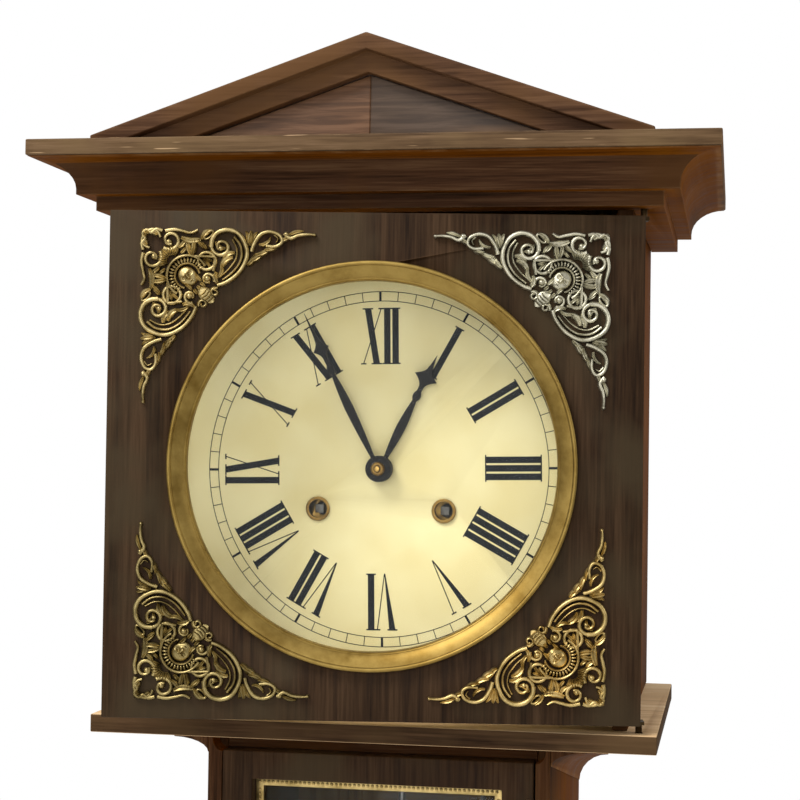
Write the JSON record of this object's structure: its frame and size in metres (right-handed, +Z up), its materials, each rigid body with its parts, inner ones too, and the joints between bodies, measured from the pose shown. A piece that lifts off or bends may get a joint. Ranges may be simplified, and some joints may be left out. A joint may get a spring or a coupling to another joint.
{
  "type": "pendulum wall clock",
  "caption": "Hooded pendulum wall clock: opening glazed dial door with cast corner spandrels, glazed trunk, striking movement and swinging pendulum.",
  "frame": {"origin": "on the wall, straight behind the centre of the dial", "axes": "+X to the viewer's right, +Y into the wall, +Z up; the dial faces -Y"},
  "size_m": [0.3754, 0.2768, 0.855],
  "materials": {
    "front_wood": "aged dark stained oak with worn edges, satin",
    "side_wood": "warm orange-brown stained wood, satin",
    "tympanum_wood": "book-matched veneer in two halves, satin",
    "hidden_wood": "plain unpolished softwood",
    "bezel_brass": "aged lacquered brass, streaked",
    "antique_brass": "antique brass casting",
    "silvered": "silvered brass casting, tarnished",
    "bronze": "bronzed casting, dark in the hollows",
    "gilt": "gilt brass",
    "movement_brass": "satin clock brass",
    "steel": "blued-grey bright steel",
    "blued_black": "black paint, satin",
    "dial_enamel": "aged cream dial paint, matt",
    "clear_glass": "thin old window glass"
  },
  "bodies": {
    "case": {"back_board": "hidden_wood", "hood_side_left": "side_wood", "hood_side_right": "side_wood", "cornice_top_board": "front_wood", "cornice_moulding": "front_wood", "pediment_moulding": "front_wood", "tympanum": "tympanum_wood", "hood_seat_board": "front_wood", "bracket_left": "side_wood", "bracket_right": "side_wood", "trunk_side_left": "side_wood", "trunk_side_right": "side_wood", "trunk_top_rail": "front_wood", "trunk_base": "front_wood", "hanger_plate": "movement_brass", "dial_plate": "dial_enamel", "winding_collet_going": "movement_brass", "winding_collet_strike": "movement_brass", "movement_shelf": "hidden_wood", "movement_front_plate": "movement_brass", "movement_back_plate": "movement_brass", "back_cock": "movement_brass", "gong": "steel"},
    "hood_door": {"hood_door_panel": "front_wood", "bezel": "bezel_brass", "dial_glass": "clear_glass", "spandrel_top_left": "antique_brass", "spandrel_top_right": "silvered", "spandrel_bottom_left": "bronze", "spandrel_bottom_right": "gilt", "door_pivot_upper": "bronze", "door_pivot_lower": "bronze"},
    "trunk_door": {"trunk_door_frame": "front_wood", "trunk_gilt_bead": "gilt", "trunk_glass": "clear_glass", "trunk_hinge_upper": "movement_brass", "trunk_hinge_lower": "movement_brass"},
    "trunk_catch": {"trunk_knob": "movement_brass"},
    "third_wheel": {"third_wheel": "movement_brass"},
    "centre_wheel": {"centre_wheel": "movement_brass"},
    "intermediate_wheel": {"intermediate_wheel": "movement_brass"},
    "escape_wheel": {"escape_wheel": "movement_brass"},
    "going_barrel": {"going_barrel": "movement_brass"},
    "going_winding_arbor": {"going_winding_arbor": "steel"},
    "minute_hand": {"minute_hand": "blued_black", "hand_nut": "movement_brass", "cannon_pinion": "movement_brass"},
    "hour_hand": {"hour_hand": "blued_black", "hour_wheel": "movement_brass"},
    "minute_wheel": {"minute_wheel": "movement_brass"},
    "strike_barrel": {"strike_barrel": "movement_brass"},
    "strike_winding_arbor": {"strike_winding_arbor": "steel"},
    "pin_wheel": {"pin_wheel": "movement_brass"},
    "fly": {"fly": "movement_brass"},
    "hammer": {"hammer": "steel"},
    "pallets": {"pallets": "steel"},
    "pendulum": {"suspension_spring": "steel", "pendulum_rod": "steel", "pendulum_bob": "movement_brass"},
    "rating_nut": {"rating_nut": "movement_brass"}
  },
  "joints": [
    {"name": "hood_door_swing", "type": "hinge", "parent": "case", "child": "hood_door", "pos_m": [0.146, -0.218, 0], "axis": [0, 0, 1], "range_deg": [-8.7, 91.3]},
    {"name": "trunk_door_swing", "type": "hinge", "parent": "case", "child": "trunk_door", "pos_m": [0.0858, -0.2018, -0.356], "axis": [0, 0, 1], "range_deg": [0, 100]},
    {"name": "trunk_catch_turn", "type": "hinge", "parent": "trunk_door", "child": "trunk_catch", "pos_m": [-0.076, -0.2, -0.356], "axis": [0, -1, 0], "range_deg": [0, 90]},
    {"name": "third_wheel_spin", "type": "hinge", "parent": "case", "child": "third_wheel", "pos_m": [-0.022, -0.155, 0.0246], "axis": [0, 1, 0], "continuous": true},
    {"name": "centre_wheel_spin", "type": "hinge", "parent": "case", "child": "centre_wheel", "pos_m": [0, -0.17, 0], "axis": [0, 1, 0], "continuous": true},
    {"name": "intermediate_wheel_spin", "type": "hinge", "parent": "case", "child": "intermediate_wheel", "pos_m": [0.03196, -0.155, 0.01037], "axis": [0, 1, 0], "continuous": true},
    {"name": "escape_wheel_spin", "type": "hinge", "parent": "case", "child": "escape_wheel", "pos_m": [0, -0.15, 0.04025], "axis": [0, 1, 0], "continuous": true},
    {"name": "going_barrel_spin", "type": "hinge", "parent": "case", "child": "going_barrel", "pos_m": [0.0359, -0.16, -0.023], "axis": [0, 1, 0], "continuous": true},
    {"name": "going_winding_arbor_spin", "type": "hinge", "parent": "case", "child": "going_winding_arbor", "pos_m": [0.0359, -0.16, -0.023], "axis": [0, 1, 0], "continuous": true},
    {"name": "minute_hand_spin", "type": "hinge", "parent": "case", "child": "minute_hand", "pos_m": [0, -0.2, 0], "axis": [0, 1, 0], "continuous": true},
    {"name": "hour_hand_spin", "type": "hinge", "parent": "case", "child": "hour_hand", "pos_m": [0, -0.195, 0], "axis": [0, 1, 0], "continuous": true},
    {"name": "minute_wheel_spin", "type": "hinge", "parent": "case", "child": "minute_wheel", "pos_m": [0, -0.185, -0.0216], "axis": [0, 1, 0], "continuous": true},
    {"name": "pin_wheel_spin", "type": "hinge", "parent": "case", "child": "pin_wheel", "pos_m": [-0.00394, -0.155, -0.03337], "axis": [0, 1, 0], "continuous": true},
    {"name": "strike_barrel_spin", "type": "hinge", "parent": "case", "child": "strike_barrel", "pos_m": [-0.0359, -0.16, -0.023], "axis": [0, 1, 0], "continuous": true},
    {"name": "fly_spin", "type": "hinge", "parent": "case", "child": "fly", "pos_m": [-0.00394, -0.155, -0.06137], "axis": [0, 1, 0], "continuous": true},
    {"name": "strike_winding_arbor_spin", "type": "hinge", "parent": "case", "child": "strike_winding_arbor", "pos_m": [-0.0359, -0.16, -0.023], "axis": [0, 1, 0], "continuous": true},
    {"name": "hammer_lift", "type": "hinge", "parent": "case", "child": "hammer", "pos_m": [0.024, -0.1, -0.06], "axis": [0, 1, 0], "range_deg": [0, 14]},
    {"name": "pendulum_swing", "type": "hinge", "parent": "case", "child": "pendulum", "pos_m": [0, -0.114, 0.0629], "axis": [0, 1, 0], "range_deg": [-4, 4]},
    {"name": "pallets_rock", "type": "hinge", "parent": "case", "child": "pallets", "pos_m": [0, -0.15, 0.0629], "axis": [0, 1, 0], "range_deg": [-4, 4]},
    {"name": "rating_nut_turn", "type": "hinge", "parent": "pendulum", "child": "rating_nut", "pos_m": [0, -0.114, -0.427], "axis": [0, 0, 1], "continuous": true}
  ],
  "couplings": [
    {"joint": "third_wheel_spin", "follows": "escape_wheel_spin", "ratio": -0.11111},
    {"joint": "centre_wheel_spin", "follows": "escape_wheel_spin", "ratio": 0.011111},
    {"joint": "minute_hand_spin", "follows": "escape_wheel_spin", "ratio": 0.011111},
    {"joint": "minute_wheel_spin", "follows": "escape_wheel_spin", "ratio": -0.0037037},
    {"joint": "hour_hand_spin", "follows": "escape_wheel_spin", "ratio": 0.00092593},
    {"joint": "intermediate_wheel_spin", "follows": "escape_wheel_spin", "ratio": -0.0018519},
    {"joint": "going_barrel_spin", "follows": "escape_wheel_spin", "ratio": 0.00030864},
    {"joint": "pin_wheel_spin", "follows": "fly_spin", "ratio": -0.16667},
    {"joint": "strike_barrel_spin", "follows": "fly_spin", "ratio": 0.027778},
    {"joint": "pallets_rock", "follows": "pendulum_swing", "ratio": 1}
  ]
}
